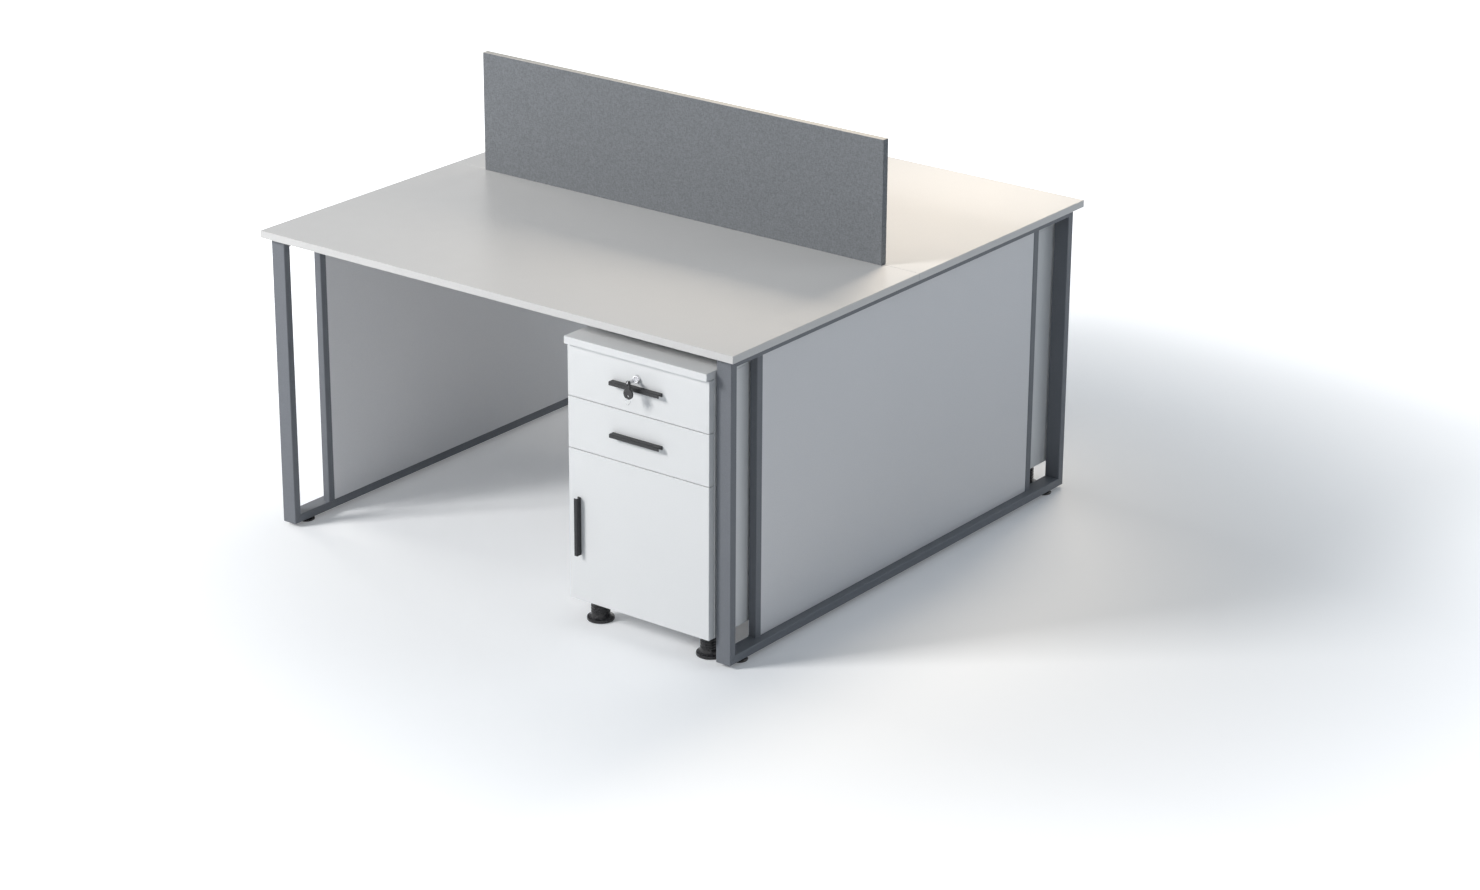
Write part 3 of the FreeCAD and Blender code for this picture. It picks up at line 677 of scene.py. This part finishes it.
@dataclass
class EndFrames:
    """Glides, welds and fasteners of the end frames and their beams, sizes in millimetres."""

    post: float = 20.0
    bead: float = 1.6
    bead_waist: float = 0.82
    bead_lead: float = 0.15
    bead_steps: int = 10
    ripples: int = 8
    glide_radius: float = 21.0
    glide: Profile = (
        (0, 0), (19.5, 0), (20.6, 0.5), (21, 1.5), (20.8, 3), (19.8, 4.2), (15, 6.2), (13.4, 7.2),
        (13, 8.2), (12.6, 9), (0, 9))
    rows: tuple[float, ...] = (-450.0, 0.0, 450.0)
    bracket_screws: Span = (20.0, 45.0)
    beam_screws: tuple[float, ...] = (-420.0, -140.0, 140.0, 420.0)
    bolt: Screw = Screw(9.5, 2.8)

    def build(self, shop: Shop) -> None:
        """Makes the pieces and dresses them.

        Args:
            shop: Where the finishes come from.
        """
        self.glides(shop)
        self.welds(shop)
        self.fasteners(shop)

    def glides(self, shop: Shop) -> None:
        """Makes the moulded levelling glides.

        Args:
            shop: Where the finishes come from.
        """
        low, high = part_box("frame_glides")
        inset = self.glide_radius * MM
        tread = Piece("levelling_glides", "desk", Slot.PLASTIC)
        for x in (low.x + inset, high.x - inset):
            for y in (low.y + inset, high.y - inset):
                tread.lathe(self.glide, Vector((x, y, 0)))
        tread.done(shop, "frame_glides")

    def welds(self, shop: Shop) -> None:
        """Makes the fillet welds round the ends of the inner posts, but not towards the panels.

        Args:
            shop: Where the finishes come from.
        """
        beads = Piece("post_welds", "desk", Slot.FRAME)
        half = self.post / 2 * MM
        for side in ("left", "right"):
            low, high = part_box(f"{side}_side_panel")
            middle = (low.x + high.x) / 2
            for y in (low.y - half, high.y + half):
                outward = -1 if y < 0 else 1
                for z in (low.z, high.z):
                    for dx, dy in ((1, 0), (-1, 0), (0, outward)):
                        start = Vector((middle + dx * half, y + dy * half, z))
                        along = Vector((dy, dx, 0))
                        self.lay_bead(beads, start - along * half, along)
        beads.done(shop)

    def lay_bead(self, piece: Piece, start: Vector, along: Vector) -> None:
        """Lays one rippled bead along a side of a post.

        Args:
            piece: Piece that takes it.
            start: First end.
            along: Direction.
        """
        step = self.post / self.ripples
        waist = self.bead * self.bead_waist
        profile = [(0, 0)]
        for ripple in range(self.ripples):
            profile += [(waist, ripple * step + self.bead_lead), (self.bead, (ripple + 0.5) * step)]
        profile += [(waist, self.post - self.bead_lead), (0, self.post)]
        piece.lathe(profile, start, along, self.bead_steps)

    def fasteners(self, shop: Shop) -> None:
        """Makes the screws under the brackets and the beams.

        Args:
            shop: Where the finishes come from.
        """
        screws = Piece("beam_screws", "desk", Slot.ZINC)
        low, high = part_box("beam_brackets")
        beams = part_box("cross_beams")[0]
        near, far = (inset * MM for inset in self.bracket_screws)
        for y in self.rows:
            for x in (low.x + near, low.x + far, high.x - near, high.x - far):
                screws.screw(self.bolt, Vector((x, y * MM, low.z)), DOWN)
            for x in self.beam_screws:
                screws.screw(self.bolt, Vector((x * MM, y * MM, beams.z)), DOWN)
        screws.done(shop)


@dataclass
class Pedestal:
    """Fittings of one free-standing pedestal, sizes in millimetres.

    In its own frame x runs across, y back from its front and z up. Its place in the desk is given
    by centre and reach, in metres, and turn, in degrees. The door_pull is an x and a z, and cup,
    plate and arm are each the x and y of a hinge's screws.
    """

    unit: str
    turn: float
    reach: float
    centre: float = 0.437
    foot_x: float = 158.0
    foot_y: Span = (58.0, 442.0)
    foot_steps: int = 56
    foot_base: Profile = (
        (0, 0), (29.6, 0), (31.2, 0.6), (32, 2), (32, 6), (31.4, 7.4), (30, 8.2), (28.4, 8.4),
        (27.2, 9), (25.2, 10.2), (23.4, 12), (22, 14.4), (21, 17))
    rib: Profile = (
        (20.8, 0), (21.6, 0.5), (22.3, 1.4), (22.5, 2.6), (22.3, 3.8), (21.6, 4.7), (20.8, 5.2))
    ribs: int = 5
    rib_low: float = 18.0
    rib_pitch: float = 7.0
    foot_collar: Profile = (
        (20.8, 53), (21.9, 53.6), (22.5, 54.8), (22.5, 63.2), (22.2, 64), (0, 64))
    lock_z: float = 639.0
    barrel: Profile = (
        (5.3, -4.6), (5.6, -5.4), (6.4, -5.95), (7.6, -6), (8.5, -5.7), (8.9, -5.1), (9, -4.2),
        (9, 0), (9, 23.4), (8.4, 24), (5.3, 24))
    bow_round: float = 0.9
    wire: float = 0.46
    wire_steps: int = 10
    ring_radius: float = 9.0
    ring_steps: int = 112
    ring_gap: float = 0.3
    front: float = 18.0
    pull_z: Span = (617.0, 493.0)
    pull_half: float = 64.0
    pull_round: float = 0.6
    pull_screw: Screw = Screw()
    door_pull: Span = (-169.0, 247.0)
    hinge_z: Span = (139.0, 355.0)
    cup: Span = (176.5, 18.8)
    cup_half: float = 21.0
    cup_screw: Screw = Screw(7.0, 1.4)
    plate: Span = (181.0, 52.0)
    plate_half: float = 17.0
    plate_screw: Screw = Screw(7.5, 1.8)
    arm: Span = (172.0, 56.0)
    arm_screw: Screw = Screw(6.5, 1.6)

    def __post_init__(self) -> None:
        """Works out the pedestal's place in the desk's frame."""
        turn = Matrix.Rotation(math.radians(self.turn), 4, "Z")
        self.place = Matrix.Translation((self.centre, self.reach, 0)) @ turn

    def node(self, name: str) -> str:
        """Returns the full name of one of the pedestal's CAD nodes."""
        return f"{self.unit}_pedestal_{name}"

    def piece(self, name: str, body: str, slot: Slot) -> Piece:
        """Starts a piece in the pedestal's frame.

        Args:
            name: Name without the unit.
            body: Body without the unit.
            slot: Its material slot.

        Returns:
            The empty piece.
        """
        return Piece(f"{self.unit}_{name}", f"{self.unit}_{body}", slot, self.place)

    def build(self, shop: Shop) -> None:
        """Makes the fittings and dresses them.

        Args:
            shop: Where the finishes come from.
        """
        self.feet(shop)
        self.lock(shop)
        self.split_ring(shop)
        self.pulls(shop)
        self.hinges(shop)

    def feet(self, shop: Shop) -> None:
        """Makes the feet: a rimmed base, a ribbed stem and a collar.

        Args:
            shop: Where the finishes come from.
        """
        feet = self.piece("moulded_feet", "pedestal", Slot.PLASTIC)
        profile = list(self.foot_base)
        for rib in range(self.ribs):
            base = self.rib_low + self.rib_pitch * rib
            profile += [(radius, base + rise) for radius, rise in self.rib]
        profile += self.foot_collar
        for x in (-self.foot_x, self.foot_x):
            for y in self.foot_y:
                feet.lathe(profile, Vector((x, y, 0)) * MM, steps=self.foot_steps)
        feet.done(shop, self.node("feet"))

    def lock(self, shop: Shop) -> None:
        """Makes the chromed barrel with its rolled rim, and rounds the bow of the key.

        Args:
            shop: Where the finishes come from.
        """
        barrel = self.piece("lock_sleeve", "upper_drawer", Slot.CHROME)
        barrel.lathe(self.barrel, Vector((0, 0, self.lock_z)) * MM, BACK, ring=True)
        barrel.done(shop, self.node("lock_barrel"))
        soften(self.node("key_bow"), self.bow_round)

    def split_ring(self, shop: Shop) -> None:
        """Makes the split ring: two turns of round wire side by side.

        Args:
            shop: Where the finishes come from.
        """
        low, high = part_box(self.node("key_ring"))
        loop = Piece(f"{self.unit}_split_ring", f"{self.unit}_key_ring", Slot.CHROME)
        wire = self.wire * MM
        start = Matrix.Translation((self.ring_radius * MM, 0, -wire))
        shape = bmesh.new()
        bmesh.ops.create_circle(shape, cap_ends=False, radius=wire, segments=self.wire_steps)
        bmesh.ops.transform(
            shape, matrix=start @ Matrix.Rotation(math.pi / 2, 4, "X"), verts=shape.verts)
        bmesh.ops.spin(
            shape, geom=list(shape.verts) + list(shape.edges), cent=(0, 0, 0), axis=UP,
            dvec=(0, 0, 2 * wire / self.ring_steps), angle=2 * math.tau - self.ring_gap,
            steps=self.ring_steps, use_merge=False, use_duplicate=False)
        ends = [edge for edge in shape.edges if edge.is_boundary]
        bmesh.ops.holes_fill(shape, edges=ends, sides=0)
        loop.take(shape, (low + high) / 2, RIGHT)
        loop.done(shop, self.node("key_ring"))

    def pulls(self, shop: Shop) -> None:
        """Rounds the folded pulls, and makes the screws on the insides of the fronts.

        Args:
            shop: Where the finishes come from.
        """
        for front in ("upper_drawer", "lower_drawer", "door"):
            soften(self.node(f"{front}_handle"), self.pull_round)
        ends = (-self.pull_half, self.pull_half)
        for level, z in zip(("upper", "lower"), self.pull_z):
            screws = self.piece(f"{level}_handle_screws", f"{level}_drawer", Slot.ZINC)
            for x in ends:
                screws.screw(self.pull_screw, Vector((x, self.front, z)) * MM, BACK)
            screws.done(shop)
        screws = self.piece("door_handle_screws", "door", Slot.ZINC)
        x, z = self.door_pull
        for rise in ends:
            screws.screw(self.pull_screw, Vector((x, self.front, z + rise)) * MM, BACK)
        for z in self.hinge_z:
            for rise in (-self.cup_half, self.cup_half):
                screws.screw(self.cup_screw, Vector((*self.cup, z + rise)) * MM, BACK)
        screws.done(shop)

    def hinges(self, shop: Shop) -> None:
        """Makes the screws of the hinge plates and arms.

        Args:
            shop: Where the finishes come from.
        """
        screws = self.piece("hinge_screws", "pedestal", Slot.ZINC)
        for z in self.hinge_z:
            for rise in (-self.plate_half, self.plate_half):
                screws.screw(self.plate_screw, Vector((*self.plate, z + rise)) * MM, LEFT)
            screws.screw(self.arm_screw, Vector((*self.arm, z)) * MM, LEFT)
        screws.done(shop)


@dataclass(frozen=True)
class Softbox:
    """A large soft lamp that faces the desk, in metres and degrees."""

    name: str
    towards: Point
    aim: Point
    distance: float
    size: float
    level: float
    colour: Colour
    spread: float = 180.0
    glints: bool = False

    def hang(self) -> None:
        """Hangs the lamp, strong enough to light a white face that looks at it to its level."""
        data = bpy.data.lights.new(self.name, "AREA")
        data.shape = "SQUARE"
        data.size = self.size
        half = math.radians(self.spread) / 2
        data.spread = 2 * half
        narrowing = 1 - half / math.tan(half)
        data.energy = self.level * (math.pi * self.distance) ** 2 * narrowing
        data.color = self.colour
        lamp = bpy.data.objects.new(self.name, data)
        away = Vector(self.towards).normalized()
        lamp.location = Vector(self.aim) + away * self.distance
        lamp.rotation_euler = away.to_track_quat("Z", "Y").to_euler()
        lamp.visible_glossy = self.glints
        bpy.context.scene.collection.objects.link(lamp)


LAMPS = (
    Softbox("front softbox", towards=(-0.502, -0.718, 0.482), aim=(0.1, 0, 0.5), distance=9.0,
            size=2.2, level=0.745, colour=(1.0, 0.985, 0.965)),
    Softbox("back softbox", towards=(-0.12, 0.66, 0.74), aim=(0.44, 0.28, 0.75), distance=2.2,
            size=0.8, level=1.72, colour=(1.0, 0.875, 0.72), spread=48.0, glints=True),
    Softbox("left softbox", towards=(-0.925, 0.03, 0.38), aim=(0.3, 0, 0.3), distance=8.0,
            size=3.0, level=0.25, colour=(1.0, 0.95, 0.88)),
    Softbox("side fill", towards=(0.76, 0.52, 0.4), aim=(0.4, 0, 0.4), distance=8.0,
            size=3.6, level=0.113, colour=(0.9, 0.96, 1.0)),
)


@dataclass(frozen=True)
class Viewpoint:
    """The photograph's camera, in metres and degrees, with lens and sensor in millimetres."""

    position: Point = (5.161588, -6.560523, 3.450418)
    yaw: float = -37.159
    pitch: float = -21.512
    roll: float = 0.313
    lens: float = 89.25
    sensor: float = 36.0

    def set_up(self) -> None:
        """Makes the scene's camera."""
        yaw, pitch, roll = (math.radians(angle) for angle in (self.yaw, self.pitch, self.roll))
        level = math.cos(pitch)
        ahead = Vector((math.sin(yaw) * level, math.cos(yaw) * level, math.sin(pitch)))
        across = Vector((math.cos(yaw), -math.sin(yaw), 0))
        above = across.cross(ahead)
        right = across * math.cos(roll) + above * math.sin(roll)
        over = above * math.cos(roll) - across * math.sin(roll)
        data = bpy.data.cameras.new("camera")
        data.sensor_fit = "HORIZONTAL"
        data.sensor_width = self.sensor
        data.lens = self.lens
        camera = bpy.data.objects.new("camera", data)
        turn = Matrix((right, over, -ahead)).transposed().to_4x4()
        camera.matrix_world = Matrix.Translation(self.position) @ turn
        bpy.context.scene.collection.objects.link(camera)
        bpy.context.scene.camera = camera


@dataclass
class Studio:
    """Floor, backdrop light, lamps and camera.

    The floor keeps the desk's shadow. Seen by the camera or in a reflection, it also glows, by a
    strength that grows from near to far, which are each a distance from the middle and a strength.
    """

    ambient: float = 0.24
    sky: Colour = (0.8, 0.92, 1.05)
    white: Colour = (1.0, 1.0, 1.0)
    floor_colour: Colour = (0.9, 0.915, 0.935)
    floor_roughness: float = 0.9
    floor_half: float = 30.0
    middle: Point = (0.32, -0.12, 0.0)
    near: Span = (0.75, 0.105)
    far: Span = (2.8, 0.87)

    def set_up(self) -> None:
        """Builds the studio."""
        bpy.context.scene.view_settings.view_transform = "Standard"
        Viewpoint().set_up()
        self.world()
        self.floor()
        for lamp in LAMPS:
            lamp.hang()

    def pale_rays(self, tree: bpy.types.NodeTree) -> Socket:
        """Adds a value that is 1 for rays that see the backdrop itself.

        Args:
            tree: Node tree that takes the nodes.

        Returns:
            The value.
        """
        path = tree.nodes.new("ShaderNodeLightPath")
        value = path.outputs["Is Camera Ray"]
        for name in ("Is Glossy Ray", "Is Transmission Ray"):
            node = tree.nodes.new("ShaderNodeMath")
            node.operation = "MAXIMUM"
            tree.links.new(value, node.inputs[0])
            tree.links.new(path.outputs[name], node.inputs[1])
            value = node.outputs["Value"]
        return value

    def world(self) -> None:
        """Lights the scene evenly, and shows white behind it."""
        world = bpy.data.worlds.new("backdrop")
        bpy.context.scene.world = world
        world.use_nodes = True
        tree = world.node_tree
        even = tree.nodes["Background"]
        even.inputs["Color"].default_value = (*self.sky, 1.0)
        even.inputs["Strength"].default_value = self.ambient
        white = tree.nodes.new("ShaderNodeBackground")
        white.inputs["Color"].default_value = (*self.white, 1.0)
        mix = tree.nodes.new("ShaderNodeMixShader")
        tree.links.new(self.pale_rays(tree), mix.inputs["Fac"])
        tree.links.new(even.outputs["Background"], mix.inputs[1])
        tree.links.new(white.outputs["Background"], mix.inputs[2])
        tree.links.new(mix.outputs["Shader"], tree.nodes["World Output"].inputs["Surface"])

    def floor_finish(self) -> bpy.types.Material:
        """Makes the floor's finish.

        Returns:
            The material.
        """
        coat = Coating("pale floor", self.floor_colour, self.floor_roughness)
        coat.shine(0.0)
        away = coat.tree.nodes.new("ShaderNodeVectorMath")
        away.operation = "DISTANCE"
        away.inputs[1].default_value = self.middle
        coat.feed(away.inputs[0], coat.spot)
        (start, low), (end, high) = self.near, self.far
        glow = coat.span(away.outputs["Value"], (start, end), low, high)
        glow.node.interpolation_type = "SMOOTHSTEP"
        seen = coat.calc("MULTIPLY", self.pale_rays(coat.tree), glow)
        coat.feed(coat.surface.inputs["Emission Color"], self.white)
        coat.feed(coat.surface.inputs["Emission Strength"], seen)
        return coat.material

    def floor(self) -> None:
        """Lays the pale floor."""
        shape = bmesh.new()
        bmesh.ops.create_grid(shape, x_segments=1, y_segments=1, size=self.floor_half)
        data = bpy.data.meshes.new("floor")
        shape.to_mesh(data)
        shape.free()
        data.materials.append(self.floor_finish())
        floor = bpy.data.objects.new("floor", data)
        bpy.context.scene.collection.objects.link(floor)


def main() -> None:
    """Builds the studio, dresses the CAD nodes and adds the pieces."""
    logging.basicConfig(level=logging.INFO, format="%(name)s: %(message)s")
    Studio().set_up()
    shop = Shop()
    shop.dress_nodes()
    EndFrames().build(shop)
    Pedestal("front", turn=0, reach=-0.7).build(shop)
    Pedestal("rear", turn=180, reach=0.7).build(shop)


if __name__ == "__main__":
    main()
